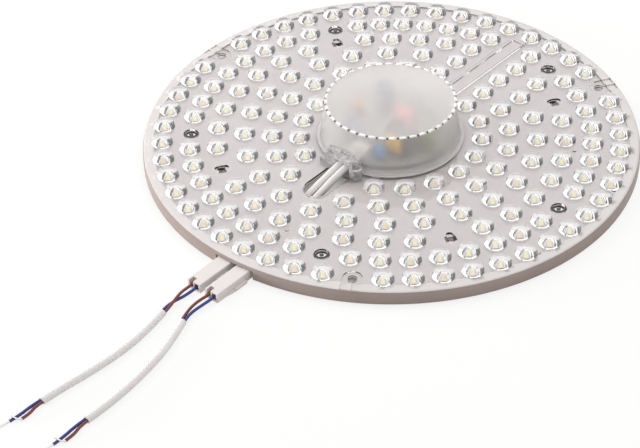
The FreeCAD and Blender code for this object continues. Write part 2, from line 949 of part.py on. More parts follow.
def plug_contacts(x):
    """Two pins that start in the shell's web and reach into the socket."""
    end = -shell_start - mouth_depth
    pins = []
    for s in (-1, 1):
        start = V(x + s * wire_pitch / 2, end, wire_height)
        pins.append(Part.makeCylinder(0.8 * contact_radius, 0.8 * mouth_depth, start, V(0, 1, 0)))
    return group(pins)


# Cords: straight runs joined by tangent arcs
def corner_arc(before, corner, after):
    """The arc at a corner, with its radius set by the shorter of the two runs."""
    a, b, c = V(*before), V(*corner), V(*after)
    back, ahead = a - b, c - b
    trim = 0.45 * min(back.Length, ahead.Length)
    back.normalize()
    ahead.normalize()
    half_turn = (math.pi - back.getAngle(ahead)) / 2
    radius = trim / math.tan(half_turn)
    start, end = b + back * trim, b + ahead * trim
    middle = back + ahead
    middle.normalize()
    centre = b + middle * (radius / math.cos(half_turn))
    return start, centre - middle * radius, end, radius


def past_connectors(route):
    return [(x, y - shell_end, z) for x, y, z in route]


def cord(name, route, radius):
    edges, radii = [], []
    last = V(*route[0])
    for before, corner, after in zip(route, route[1:], route[2:]):
        start, middle, end, bend = corner_arc(before, corner, after)
        edges.append(Part.LineSegment(last, start).toShape())
        edges.append(Part.Arc(start, middle, end).toShape())
        radii.append(bend)
        last = end
    edges.append(Part.LineSegment(last, V(*route[-1])).toShape())
    path = Part.Wire(edges)
    first = V(*route[1]) - V(*route[0])
    ring = Part.Wire(Part.makeCircle(radius, V(*route[0]), first))
    tube = path.makePipeShell([ring], True, False)
    section = math.pi * radius * radius
    print(
        name,
        "length %.1f" % path.Length,
        "smallest bend %.1f" % min(radii),
        "volume ratio %.4f" % (tube.Volume / (section * path.Length)),
    )
    return tube


def inner_wire(name, x, side, cable):
    """One of the two wires from a held cable's end into a bore in the back of its socket."""
    end_x, end_y, end_z = cable[-1]
    way_x = x + side * wire_pitch / 2
    return cord(
        name,
        [
            (end_x + side * (wire_radius + 0.1), end_y - 0.15, end_z),
            (way_x, -socket_rear + 1.5, wire_height),
            (way_x, -socket_rear - wire_bore_depth, wire_height),
        ],
        wire_radius,
    )


# All the pieces
def main():
    export(lens_cover(), "lens_cover")
    export(led_board(), "led_board")
    export(lamp_chips(False), "cool_lamp_chips")
    export(lamp_chips(True), "warm_lamp_chips")
    export(driver_cover(), "driver_cover")
    export(wire_clamp(), "wire_clamp")
    export(clamp_screw(), "clamp_screw")
    export(all_round(magnet_pot(), magnet_angles), "magnet_pots")
    export(all_round(ring_magnet(), magnet_angles), "ring_magnets")
    export(all_round(magnet_screw(), magnet_angles), "magnet_screws")
    export(driver_board(), "driver_board")
    export(all_round(spacer(), spacer_angles), "board_spacers")
    export(all_round(board_screw(), spacer_angles), "board_screws")
    export(transformer_core(), "transformer_core")
    export(transformer_winding(), "transformer_winding")
    export(bobbin_feet(), "bobbin_feet")
    export(electrolytic(*bulk_capacitor_at, bulk_capacitor_radius, bulk_capacitor_height), "bulk_capacitor")
    export(output_capacitors(), "output_capacitors")
    export(boxed(*film_capacitor_at, *film_capacitor_size), "film_capacitor")
    export(safety_capacitor(), "safety_capacitor")
    export(ring_choke(), "ring_choke")
    export(output_choke(), "output_choke")
    export(boxed(*fuse_at, *fuse_size), "fuse")
    export(boxed(*rectifier_at, *rectifier_size), "bridge_rectifier")
    export(boxed(*control_module_at, *control_module_size), "control_module")
    export(boxed(cable_middle(), cable_start + terminal_size[1] / 2, *terminal_size), "input_terminal")
    held = [("left", connector_left_x, cable_left), ("right", connector_right_x, cable_right)]
    for side, x, cable in held:
        export(cord("held cable " + side, cable, cable_radius), "held_cable_" + side)
        export(inner_wire("inner brown wire " + side, x, -1, cable), "inner_brown_wire_" + side)
        export(inner_wire("inner blue wire " + side, x, 1, cable), "inner_blue_wire_" + side)
        export(socket_body(x), "socket_" + side)
        export(plug_shell(x), "plug_shell_" + side)
        export(plug_contacts(x), "plug_contacts_" + side)
    leads = [
        ("left", sheath_left, brown_left, blue_left, brown_left_tail, blue_left_tail),
        ("right", sheath_right, brown_right, blue_right, brown_right_tail, blue_right_tail),
    ]
    for side, sheath, brown, blue, brown_tail, blue_tail in leads:
        export(cord("lead sheath " + side, past_connectors(sheath), cable_radius), "lead_sheath_" + side)
        for colour, near, tail in (("brown", brown, brown_tail), ("blue", blue, blue_tail)):
            wires = [
                cord(colour + " wire " + side, past_connectors(near), wire_radius),
                cord(colour + " wire end " + side, past_connectors(tail), wire_radius),
            ]
            export(group(wires), colour + "_wire_" + side)
    strands = [
        ("left", strand_brown_left, strand_blue_left),
        ("right", strand_brown_right, strand_blue_right),
    ]
    for side, brown, blue in strands:
        routes = [past_connectors(brown), past_connectors(blue)]
        ends = [cord("bare strand " + side, route, strand_radius) for route in routes]
        export(group(ends), "bare_strands_" + side)


main()
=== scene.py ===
import math

import bmesh
import bpy
import numpy as np
from mathutils import Matrix, Vector
from mathutils.geometry import delaunay_2d_cdt


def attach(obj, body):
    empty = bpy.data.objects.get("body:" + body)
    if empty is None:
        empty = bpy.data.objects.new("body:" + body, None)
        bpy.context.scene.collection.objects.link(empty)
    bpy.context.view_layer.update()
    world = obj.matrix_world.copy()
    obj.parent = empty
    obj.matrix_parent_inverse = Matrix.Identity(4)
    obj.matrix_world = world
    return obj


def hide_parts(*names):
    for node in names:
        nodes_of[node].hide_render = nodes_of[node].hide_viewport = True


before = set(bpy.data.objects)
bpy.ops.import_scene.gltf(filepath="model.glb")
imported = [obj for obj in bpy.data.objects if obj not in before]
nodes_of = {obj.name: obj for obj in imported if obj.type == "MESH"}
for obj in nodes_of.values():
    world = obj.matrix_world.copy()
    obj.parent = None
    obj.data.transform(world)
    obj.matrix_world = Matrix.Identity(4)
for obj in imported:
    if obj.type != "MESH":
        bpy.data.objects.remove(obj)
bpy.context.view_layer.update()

# Camera and lamps. The module lies on a pale table and is seen from its front left, in soft
# light from the left and from above.
camera_data = bpy.data.cameras.new("camera")
camera_data.sensor_width = 36.0
camera_data.lens = 123.96
camera_data.clip_start = 0.05
camera = bpy.data.objects.new("camera", camera_data)
bpy.context.collection.objects.link(camera)
right = Vector((0.76203403, 0.64720334, -0.02078404))
up = Vector((-0.38719793, 0.48115399, 0.78649132))
back = Vector((0.51902013, -0.59128561, 0.61725151))
turn = Matrix((right, up, back)).transposed().to_4x4()
camera.matrix_world = Matrix.Translation((0.738532, -0.914101, 0.857486)) @ turn
bpy.context.scene.camera = camera
bpy.context.scene.view_settings.view_transform = "Standard"


def area_lamp(name, place, size, power):
    """A soft lamp at that place that shines at the origin."""
    lamp = bpy.data.lights.new(name, "AREA")
    lamp.shape = "RECTANGLE"
    lamp.size, lamp.size_y = size
    lamp.energy = power
    holder = bpy.data.objects.new(name, lamp)
    bpy.context.collection.objects.link(holder)
    holder.location = place
    holder.rotation_euler = (-Vector(place)).to_track_quat("-Z", "Y").to_euler()
    holder.visible_glossy = holder.visible_transmission = False


area_lamp("window_light", (-0.75, -0.25, 0.85), (0.7, 0.7), 4.7)
area_lamp("top_light", (0.2, 0.5, 1.2), (0.9, 0.6), 6.0)
area_lamp("side_light", (-0.95, -0.75, 0.16), (0.5, 0.2), 10.0)

# Room. Matt surfaces get an even light. Clear and polished ones show a white room with some
# dark places near the table, which draw the edges of the lenses.
world = bpy.data.worlds.new("studio")
bpy.context.scene.world = world
world.use_nodes = True
tree = world.node_tree
tree.nodes.clear()
where = tree.nodes.new("ShaderNodeTexCoord")
shade = None
for direction, near, far, dark in (
    ((-0.86, -0.28, 0.42), 0.77, 0.82, (0.02, 0.02, 0.025, 1)),
    ((0.61, 0.53, 0.59), 0.94, 0.97, (0.22, 0.22, 0.22, 1)),
):
    toward = tree.nodes.new("ShaderNodeVectorMath")
    toward.operation = "DOT_PRODUCT"
    toward.inputs[1].default_value = direction
    spread = tree.nodes.new("ShaderNodeMapRange")
    spread.inputs["From Min"].default_value = near
    spread.inputs["From Max"].default_value = far
    tint = tree.nodes.new("ShaderNodeMix")
    tint.data_type = "RGBA"
    tint.inputs["A"].default_value = (1, 1, 1, 1)
    tint.inputs["B"].default_value = dark
    tree.links.new(where.outputs["Generated"], toward.inputs[0])
    tree.links.new(toward.outputs["Value"], spread.inputs["Value"])
    tree.links.new(spread.outputs["Result"], tint.inputs["Factor"])
    if shade is None:
        shade = tint.outputs["Result"]
        continue
    both = tree.nodes.new("ShaderNodeMix")
    both.data_type = "RGBA"
    both.blend_type = "MULTIPLY"
    both.inputs["Factor"].default_value = 1
    tree.links.new(shade, both.inputs["A"])
    tree.links.new(tint.outputs["Result"], both.inputs["B"])
    shade = both.outputs["Result"]
seen = tree.nodes.new("ShaderNodeBackground")
seen.inputs["Color"].default_value = (1, 1, 1, 1)
mirrored = tree.nodes.new("ShaderNodeBackground")
mirrored.inputs["Strength"].default_value = 1.5
room = tree.nodes.new("ShaderNodeBackground")
room.inputs["Color"].default_value = (1.0, 0.985, 0.975, 1)
room.inputs["Strength"].default_value = 0.64
tree.links.new(shade, mirrored.inputs["Color"])
ray = tree.nodes.new("ShaderNodeLightPath")
clear_ray = tree.nodes.new("ShaderNodeMath")
clear_ray.operation = "MAXIMUM"
direct = tree.nodes.new("ShaderNodeMath")
direct.operation = "LESS_THAN"
direct.inputs[1].default_value = 0.5
share = tree.nodes.new("ShaderNodeMath")
share.operation = "MULTIPLY"
tree.links.new(ray.outputs["Is Glossy Ray"], clear_ray.inputs[0])
tree.links.new(ray.outputs["Is Transmission Ray"], clear_ray.inputs[1])
tree.links.new(ray.outputs["Diffuse Depth"], direct.inputs[0])
tree.links.new(clear_ray.outputs[0], share.inputs[0])
tree.links.new(direct.outputs[0], share.inputs[1])
inner = tree.nodes.new("ShaderNodeMixShader")
pick = tree.nodes.new("ShaderNodeMixShader")
out = tree.nodes.new("ShaderNodeOutputWorld")
tree.links.new(share.outputs[0], inner.inputs[0])
tree.links.new(room.outputs[0], inner.inputs[1])
tree.links.new(mirrored.outputs[0], inner.inputs[2])
tree.links.new(ray.outputs["Is Camera Ray"], pick.inputs[0])
tree.links.new(inner.outputs[0], pick.inputs[1])
tree.links.new(seen.outputs[0], pick.inputs[2])
tree.links.new(pick.outputs[0], out.inputs[0])

# Table: white where the camera sees it, with the module's soft shadow kept. It is dim
# under the module, up to these distances in metres from its middle.
table_dim_to, table_bright_from = 0.155, 0.162
data = bpy.data.meshes.new("floor")
data.from_pydata([(-6, -6, 0), (6, -6, 0), (6, 6, 0), (-6, 6, 0)], [], [(0, 1, 2, 3)])
floor = bpy.data.objects.new("floor", data)
bpy.context.collection.objects.link(floor)
floor_look = bpy.data.materials.new("pale_table")
floor_look.use_nodes = True
tree = floor_look.node_tree
tree.nodes.clear()
out = tree.nodes.new("ShaderNodeOutputMaterial")
matt = tree.nodes.new("ShaderNodeBsdfDiffuse")
matt.inputs["Color"].default_value = (0.86, 0.85, 0.84, 1)
glow = tree.nodes.new("ShaderNodeEmission")
glow.inputs["Color"].default_value = (1, 1, 1, 1)
ray = tree.nodes.new("ShaderNodeLightPath")
share = tree.nodes.new("ShaderNodeMath")
share.operation = "MULTIPLY"
place = tree.nodes.new("ShaderNodeTexCoord")
reach = tree.nodes.new("ShaderNodeVectorMath")
reach.operation = "LENGTH"
beside = tree.nodes.new("ShaderNodeMapRange")
beside.inputs["From Min"].default_value = table_dim_to
beside.inputs["From Max"].default_value = table_bright_from
beside.inputs["To Min"].default_value = 0.22
beside.inputs["To Max"].default_value = 0.8
pick = tree.nodes.new("ShaderNodeMixShader")
tree.links.new(place.outputs["Object"], reach.inputs[0])
tree.links.new(reach.outputs["Value"], beside.inputs["Value"])
tree.links.new(beside.outputs["Result"], share.inputs[1])
tree.links.new(ray.outputs["Is Camera Ray"], share.inputs[0])
tree.links.new(share.outputs[0], pick.inputs[0])
tree.links.new(matt.outputs[0], pick.inputs[1])
tree.links.new(glow.outputs[0], pick.inputs[2])
tree.links.new(pick.outputs[0], out.inputs[0])
floor.data.materials.append(floor_look)


# Magnets: steel pots with dark ring magnets, under the five posts. They stand on the table.
# Every finish reads a shared mottle: a soft change of colour and sheen over some millimetres
# and a fine grain that lifts the surface.
def mottle_group():
    """Noise at two scales, read from Object coordinates, mixes two colours and gives the grain's height."""
    group = bpy.data.node_groups.new("surface_mottle", "ShaderNodeTree")
    face = group.interface
    for name, kind in (("Color", "Color"), ("Roughness", "Float"), ("Height", "Float")):
        face.new_socket(name, in_out="OUTPUT", socket_type="NodeSocket" + kind)
    for name, kind in (
        ("Color 1", "Color"),
        ("Color 2", "Color"),
        ("Patch Scale", "Float"),
        ("Grain Scale", "Float"),
        ("Roughness Low", "Float"),
        ("Roughness High", "Float"),
    ):
        face.new_socket(name, in_out="INPUT", socket_type="NodeSocket" + kind)
    given = group.nodes.new("NodeGroupInput")
    result = group.nodes.new("NodeGroupOutput")
    place = group.nodes.new("ShaderNodeTexCoord")
    patches = group.nodes.new("ShaderNodeTexNoise")
    patches.inputs["Detail"].default_value = 3
    grain = group.nodes.new("ShaderNodeTexNoise")
    grain.inputs["Detail"].default_value = 2
    blend = group.nodes.new("ShaderNodeMix")
    blend.data_type = "RGBA"
    spread = group.nodes.new("ShaderNodeMapRange")
    spread.inputs["From Min"].default_value = 0.3
    spread.inputs["From Max"].default_value = 0.7
    rough = group.nodes.new("ShaderNodeMapRange")
    link = group.links.new
    link(place.outputs["Object"], patches.inputs["Vector"])
    link(place.outputs["Object"], grain.inputs["Vector"])
    link(given.outputs["Patch Scale"], patches.inputs["Scale"])
    link(given.outputs["Grain Scale"], grain.inputs["Scale"])
    link(patches.outputs["Fac"], spread.inputs["Value"])
    link(spread.outputs["Result"], blend.inputs["Factor"])
    link(given.outputs["Color 1"], blend.inputs["A"])
    link(given.outputs["Color 2"], blend.inputs["B"])
    link(patches.outputs["Fac"], rough.inputs["Value"])
    link(given.outputs["Roughness Low"], rough.inputs["To Min"])
    link(given.outputs["Roughness High"], rough.inputs["To Max"])
    link(blend.outputs["Result"], result.inputs["Color"])
    link(rough.outputs["Result"], result.inputs["Roughness"])
    link(grain.outputs["Fac"], result.inputs["Height"])
    return group


mottle = mottle_group()


def finish(name, colour, second, rough, patch=60.0, grain=900.0, lift=0.05, **sockets):
    """A surface with the shared mottle: two colours, a roughness range and a grain of that lift."""
    look = bpy.data.materials.new(name)
    look.use_nodes = True
    nodes, link = look.node_tree.nodes, look.node_tree.links.new
    shader = nodes["Principled BSDF"]
    for socket, value in sockets.items():
        shader.inputs[socket.replace("_", " ")].default_value = value
    spots = nodes.new("ShaderNodeGroup")
    spots.node_tree = mottle
    spots.inputs["Color 1"].default_value = (*colour, 1)
    spots.inputs["Color 2"].default_value = (*second, 1)
    spots.inputs["Patch Scale"].default_value = patch
    spots.inputs["Grain Scale"].default_value = grain
    spots.inputs["Roughness Low"].default_value = rough[0]
    spots.inputs["Roughness High"].default_value = rough[1]
    bump = nodes.new("ShaderNodeBump")
    bump.inputs["Strength"].default_value = lift
    bump.inputs["Distance"].default_value = 0.0002
    link(spots.outputs["Color"], shader.inputs["Base Color"])
    link(spots.outputs["Roughness"], shader.inputs["Roughness"])
    link(spots.outputs["Height"], bump.inputs["Height"])
    link(bump.outputs["Normal"], shader.inputs["Normal"])
    return look


def dress(look, *names):
    """The look goes onto these CAD nodes."""
    for name in names:
        data = nodes_of[name].data
        data.materials.clear()
        data.materials.append(look)


plated_pot = finish("plated_pot", (0.62, 0.62, 0.63), (0.50, 0.50, 0.52), (0.25, 0.4), Metallic=1.0)
dress(plated_pot, "magnet_pots")
dark_magnet = finish("dark_magnet", (0.055, 0.055, 0.06), (0.08, 0.08, 0.085), (0.5, 0.7))
dress(dark_magnet, "ring_magnets")
screw_steel = finish("bright_screw", (0.70, 0.69, 0.68), (0.58, 0.57, 0.56), (0.12, 0.25), Metallic=1.0)
dress(screw_steel, "magnet_screws", "clamp_screw", "board_screws")


# Lamp board: a laminate disc, white lacquered on top, with brown edges and underside. It lies
# under the lens cover, inside the cover's rib. The lacquer is told from the rest by its height.
board_top = 7.7
lacquer = finish("white_lacquer", (0.68, 0.645, 0.635), (0.65, 0.615, 0.605), (0.35, 0.5), patch=30)
nodes, link = lacquer.node_tree.nodes, lacquer.node_tree.links.new
place = nodes.new("ShaderNodeTexCoord")
split = nodes.new("ShaderNodeSeparateXYZ")
above = nodes.new("ShaderNodeMath")
above.operation = "GREATER_THAN"
above.inputs[1].default_value = (board_top - 0.05) * 0.001
paint = nodes.new("ShaderNodeMix")
paint.data_type = "RGBA"
paint.inputs["A"].default_value = (0.34, 0.23, 0.18, 1)
link(place.outputs["Object"], split.inputs[0])
link(split.outputs["Z"], above.inputs[0])
link(above.outputs[0], paint.inputs["Factor"])
link(nodes["Group"].outputs["Color"], paint.inputs["B"])
link(paint.outputs["Result"], nodes["Principled BSDF"].inputs["Base Color"])
dress(lacquer, "led_board")


# Lamp chips: white moulded cases with a pale yellow or warm orange window, soldered to the board
# under the lenses in six rings. Each ring leaves places free for the fixing holes, the screws,
# the hooks and the cables.
def ring_places(radius, degrees):
    """Places (n, 2) on a circle about the origin: radius times the cosine and sine of each angle."""
    angles = np.radians(degrees)
    return np.column_stack([radius * np.cos(angles), radius * np.sin(angles)])


def new_piece(name, points, faces, look, replaced=(), soft_angle=None):
    """A mesh piece from points in millimetres. Edges under soft_angle degrees are shaded smooth."""
    data = bpy.data.meshes.new(name)
    data.from_pydata((np.asarray(points, float) * 0.001).tolist(), [], faces)
    data.validate()
    if soft_angle is not None:
        data.shade_smooth()
        data.set_sharp_from_angle(angle=math.radians(soft_angle))
    data.materials.append(look)
    piece = bpy.data.objects.new(name, data)
    bpy.context.collection.objects.link(piece)
    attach(piece, "root")
    if replaced:
        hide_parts(*replaced)
    return piece


# Ring radii, and the angles in degrees of the screws, hooks and fixing holes. In the second and
# third ring the lenses stand in equal steps between two screws or two hooks.
ring_radii = 150.0 - 18.0 * np.arange(6)
magnet_angles = np.array([2.1, 74.1, 146.1, 218.1, 290.1])
hook_angles = np.array([57.7, 147.7, 237.7, 327.7])
fixing_angles = np.array([60.0, 180.0, 300.0])
long_gaps = [start + 8 * np.arange(1, 9) for start in magnet_angles[[0, 2, 3, 4]]]
ring_b = np.concatenate([long_gaps[0], [82.1], 146.1 - 7 * np.arange(7, 0, -1), *long_gaps[1:]])
long_gaps = [start + 11.25 * np.arange(1, 8) for start in hook_angles[1:]]
ring_c = np.concatenate([[68.95, 80.2], 147.7 - 9.6 * np.arange(5, 0, -1), *long_gaps])
steps = np.arange(51)
lens_places = np.vstack(
    [
        ring_places(ring_radii[0], 60 + 360.0 / 51 * steps[steps % 17 > 0]),
        ring_places(ring_radii[1], ring_b),
        ring_places(ring_radii[2], ring_c),
        ring_places(ring_radii[3], 100.8 + 338.4 / 23 * steps[:24]),
        ring_places(ring_radii[4], 104 + 16.6 * np.delete(steps[:21], 10)),
        ring_places(ring_radii[5], 108.1 + 323.8 / 17 * np.delete(steps[:18], [8, 9])),
    ]
)


def copied_faces(faces, copies, points_each):
    """Equal-sided faces of every copy of a shape, whose points follow one another: each copy's
    point numbers are raised by the number of points before it."""
    shift = np.arange(copies)[:, None, None] * points_each
    return (np.asarray(faces)[None] + shift).reshape(-1, len(faces[0]))


def repeated(points, faces, places):
    """A shape's points (n, 3) and faces, copied to places (m, 2): each place is added to all points."""
    shift = np.column_stack([places, np.zeros(len(places))])
    copies = (points[None] + shift[:, None]).reshape(-1, 3)
    return copies, copied_faces(faces, len(places), len(points))


def band_quads(rows, sides):
    """Quads between rows of points round a loop: each row joins the next one."""
    row, side = np.meshgrid(np.arange(rows - 1), np.arange(sides), indexing="ij")
    a, b = row * sides + side, row * sides + (side + 1) % sides
    return np.stack([a, b, b + sides, a + sides], axis=-1).reshape(-1, 4)


# Half the length, half the width and the height of a chip's rows, from its foot to the bottom of
# its window. The faces from number 9 on, the last band and the lid, are the window.
chip_rows = np.array([(1.4, 1.75, 7.7), (1.4, 1.75, 8.35), (1.12, 1.45, 8.35), (1.05, 1.38, 8.27)])
chip_turn = math.radians(40.3)
window_faces_from = 9
chip_case = finish("chip_case", (0.80, 0.78, 0.70), (0.76, 0.74, 0.66), (0.3, 0.45))


def lamp_chips(name, places, window, replaced):
    """Cases with a sunk window at every place: each row's half sizes times the four corners
    (-1 or 1, -1 or 1), turned by chip_turn, and joined to the next row."""
    corners = np.array([(-1, -1), (1, -1), (1, 1), (-1, 1)])
    level, heights = chip_rows[:, None, :2] * corners, np.tile(chip_rows[:, None, 2:], (1, 4, 1))
    chip = np.concatenate([level, heights], axis=2).reshape(-1, 3)
    c, s = math.cos(chip_turn), math.sin(chip_turn)
    chip[:, :2] = chip[:, :2] @ np.array([[c, s], [-s, c]])
    faces = np.vstack([[(3, 2, 1, 0)], band_quads(4, 4), [(12, 13, 14, 15)]])
    points, quads = repeated(chip, faces, places)
    piece = new_piece(name, points, quads.tolist(), chip_case, (replaced,))
    piece.data.materials.append(window)
    colours = np.tile((np.arange(len(faces)) >= window_faces_from).astype(int), len(places))
    piece.data.polygons.foreach_set("material_index", colours)


cool_window = finish("pale_phosphor", (0.97, 0.90, 0.55), (0.92, 0.84, 0.48), (0.25, 0.35), patch=900)
warm_window = finish("warm_phosphor", (0.90, 0.73, 0.45), (0.85, 0.66, 0.38), (0.25, 0.35), patch=900)
warm = np.arange(len(lens_places)) % 4 == 2  # every fourth chip is a warm one
lamp_chips("cool_chips", lens_places[~warm], cool_window, "cool_lamp_chips")
lamp_chips("warm_chips", lens_places[warm], warm_window, "warm_lamp_chips")


# Reflecting pads: bright lacquer printed on the board round each chip, which fills the lens
# above it with light.
def revolved(profile, sides):
    """Points of a turned form: each (radius, height) goes round the axis in equal steps, as
    x = radius cos t, y = radius sin t."""
    t = 2 * np.pi * np.arange(sides) / sides
    r, z = profile[:, :1], profile[:, 1:]
    return np.stack([r * np.cos(t), r * np.sin(t), z + 0 * t], axis=-1).reshape(-1, 3)


pad_white = finish("pad_lacquer", (0.96, 0.95, 0.95), (0.93, 0.92, 0.92), (0.25, 0.4), patch=80)
pad_profile = np.array([(6.2, board_top + 0.005), (6.0, board_top + 0.04), (2.6, board_top + 0.04)])
points, quads = repeated(revolved(pad_profile, 16), band_quads(3, 16), lens_places)
new_piece("reflecting_pads", points, quads.tolist(), pad_white)


# Driver: a pale green board on nylon spacers, with capacitors, chokes and a transformer soldered
# to it. They show as soft colours through the frosted cap.
green = finish("board_green", (0.42, 0.425, 0.40), (0.37, 0.375, 0.35), (0.3, 0.5))
dress(green, "driver_board", "control_module")
nylon = finish("nylon", (0.80, 0.79, 0.76), (0.76, 0.75, 0.72), (0.4, 0.55))
dress(nylon, "board_spacers", "input_terminal")
dress(finish("ferrite", (0.05, 0.05, 0.055), (0.08, 0.08, 0.085), (0.4, 0.6)), "transformer_core")
dress(finish("winding_tape", (0.95, 0.55, 0.03), (0.90, 0.50, 0.02), (0.2, 0.3)), "transformer_winding")
black = finish("black_epoxy", (0.08, 0.08, 0.08), (0.11, 0.11, 0.11), (0.35, 0.5))
dress(black, "bobbin_feet", "fuse", "bridge_rectifier")
sleeve = finish("can_sleeve", (0.24, 0.26, 0.33), (0.28, 0.30, 0.37), (0.25, 0.35))
dress(sleeve, "bulk_capacitor", "output_capacitors")
dress(finish("dipped_film", (0.74, 0.26, 0.26), (0.68, 0.22, 0.22), (0.2, 0.3)), "film_capacitor")
dress(finish("dipped_ceramic", (0.10, 0.32, 0.68), (0.08, 0.28, 0.62), (0.2, 0.3)), "safety_capacitor")
dress(finish("choke_coat", (0.22, 0.30, 0.05), (0.18, 0.25, 0.04), (0.35, 0.5)), "ring_choke")
copper = finish("choke_copper", (0.65, 0.28, 0.12), (0.55, 0.22, 0.09), (0.3, 0.45), Metallic=0.8)
dress(copper, "output_choke")

# Held cables: two white cables from the driver, down through the slot and on under the board
# to the sockets, with a brown and a blue wire at each end.
cable_radius = 2.4
jacket = finish("white_jacket", (0.73, 0.705, 0.70), (0.69, 0.67, 0.665), (0.45, 0.6), patch=40, lift=0.08)
brown_cover = finish("brown_cover", (0.17, 0.042, 0.034), (0.14, 0.034, 0.028), (0.35, 0.5), patch=120)
blue_cover = finish("blue_cover", (0.022, 0.036, 0.19), (0.018, 0.03, 0.155), (0.35, 0.5), patch=120)


def wire_curve(name, route, radius, look, replaced):
    """A round cord on a smooth line that has the route's points, in millimetres, as its control points."""
    line = bpy.data.curves.new(name, "CURVE")
    line.dimensions = "3D"
    line.bevel_depth = radius * 0.001
    line.bevel_resolution = 6
    line.use_fill_caps = True
    spline = line.splines.new("NURBS")
    spline.points.add(len(route) - 1)
    for point, place in zip(spline.points, route):
        point.co = (place[0] * 0.001, place[1] * 0.001, place[2] * 0.001, 1)
    spline.order_u = 3
    spline.use_endpoint_u = True
    spline.resolution_u = 10
    line.materials.append(look)
    piece = bpy.data.objects.new(name, line)
    bpy.context.collection.objects.link(piece)
    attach(piece, "root")
    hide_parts(*replaced)
    return piece


held_left = [
    (-0.4, -35.5, 15.4),
    (-0.4, -53, 15.4),
    (-4.6, -80, 3.2),
    (-5, -96, 2.9),
    (-1.4, -110, 2.9),
    (0.2, -122, 2.9),
    (0.2, -133, 2.9),
]
held_right = [
    (4.7, -35.5, 15.4),
    (4.7, -53, 15.4),
    (1.2, -80, 3.2),
    (3.4, -95, 2.9),
    (10.6, -108, 2.9),
    (14.6, -121, 2.9),
    (14.6, -133, 2.9),
]
wire_curve("cable_left", held_left, cable_radius, jacket, ("held_cable_left",))
wire_curve("cable_right", held_right, cable_radius, jacket, ("held_cable_right",))
dress(brown_cover, "inner_brown_wire_left", "inner_brown_wire_right")
dress(blue_cover, "inner_blue_wire_left", "inner_blue_wire_right")


# Lens cover: one clear moulding that snaps over the board. Its outlines are joined into one
# triangle net, and each triangle gets the height of the plate's top and underside there. A
# hollow lens closes each of the net's round holes.
def lets_light_through(look, share):
    """Lamp light passes this see-through wall straight on, with that share of it kept."""
    nodes, link = look.node_tree.nodes, look.node_tree.links.new
    ray = nodes.new("ShaderNodeLightPath")
    part = nodes.new("ShaderNodeMath")
    part.operation = "MULTIPLY"
    part.inputs[1].default_value = share
    clear = nodes.new("ShaderNodeBsdfTransparent")
    mix = nodes.new("ShaderNodeMixShader")
    link(ray.outputs["Is Shadow Ray"], part.inputs[0])
    link(part.outputs[0], mix.inputs[0])
    link(nodes["Principled BSDF"].outputs[0], mix.inputs[1])
    link(clear.outputs[0], mix.inputs[2])
    link(mix.outputs[0], nodes["Material Output"].inputs["Surface"])


clear_plastic = finish(
    "clear_moulding",
    (0.985, 0.98, 0.985),
    (0.97, 0.96, 0.965),
    (0.01, 0.05),
    patch=25,
    grain=160,
    lift=0.02,
    IOR=1.49,
    Transmission_Weight=1.0,
)
lets_light_through(clear_plastic, 0.9)
lens_plastic = finish(
    "lens_moulding",
    (0.99, 0.985, 0.98),
    (0.97, 0.965, 0.96),
    (0.01, 0.04),
    patch=25,
    grain=160,
    lift=0.02,
    IOR=1.49,
    Transmission_Weight=0.88,
)
lets_light_through(lens_plastic, 0.9)
rim_plastic = finish(
    "matt_rim",
    (0.72, 0.69, 0.68),
    (0.69, 0.66, 0.65),
    (0.1, 0.2),
    patch=30,
    IOR=1.49,
    Transmission_Weight=0.2,
)
lets_light_through(rim_plastic, 0.7)
# The skirt is clear plastic. Its brown-grey colour is painted shade: the shade under the board, seen
# through the skirt.
painted_shade_skirt = finish(
    "skirt_painted_shade",
    (0.39, 0.315, 0.285),
    (0.355, 0.285, 0.255),
    (0.15, 0.3),
    patch=30,
    IOR=1.49,
    Transmission_Weight=0.2,
)
lets_light_through(painted_shade_skirt, 0.3)


# Heights in millimetres
plate_top, plate_underside = 10.0, 8.4
channel_top, channel_roof = 11.1, 9.5
nub_top, pocket_floor, cup_floor = 10.8, 9.1, 6.7
finger_foot, boss_foot, post_foot = 5.7, 5.3, 3.9
lens_rise, lens_dip, hollow_rise = 4.8, 0.8, 2.4

# Radii in millimetres. The skirt's outer radius goes with the height above the table.
skirt_heights = np.array([1.1, 7.3, 7.75, 9.5, 10.0])
skirt_radii = np.array([162.9, 162.8, 162.35, 162.2, 161.7])
skirt_inner_radius = 160.85
rib_outer_radius, rib_inner_radius = 157.0, 155.6
window_radius = 40.0
lens_radius, hollow_radius = 7.2, 3.0
lens_sides, hollow_sides = 16, 12
post_circle_radius, post_radius, cup_radius = ring_radii[1] - 0.5, 5.0, 4.0
hook_circle_radius = ring_radii[2] + 1.0
nub_circle_radius = 120.6
fixing_hole_radius, screw_hole_radius = 3.0, 1.45
clamp_screw_place = (12.4, -51.0)


def circle(x, y, radius, sides):
    """Points at equal steps round a circle: centre plus radius times cosine and sine."""
    t = 2 * np.pi * np.arange(sides) / sides
    return np.column_stack([x + radius * np.cos(t), y + radius * np.sin(t)])


def turned(points, degrees):
    """Points (n, 2) turned about the origin: x cos - y sin, x sin + y cos."""
    c, s = math.cos(math.radians(degrees)), math.sin(math.radians(degrees))
    return points @ np.array([[c, s], [-s, c]])


def box_outline(x0, x1, y0, y1):
    """The four corners of a rectangle."""
    return np.array([(x0, y0), (x1, y0), (x1, y1), (x0, y1)], float)


def round_slot(length, width, x):
    """A slot along X about (x, 0): a half circle at one end, and its mirror image at the other."""
    t = np.linspace(-np.pi / 2, np.pi / 2, 13)
    reach = (length - width) / 2
    end = np.column_stack([reach + width / 2 * np.cos(t), width / 2 * np.sin(t)])
    return np.vstack([end, -end]) + (x, 0)


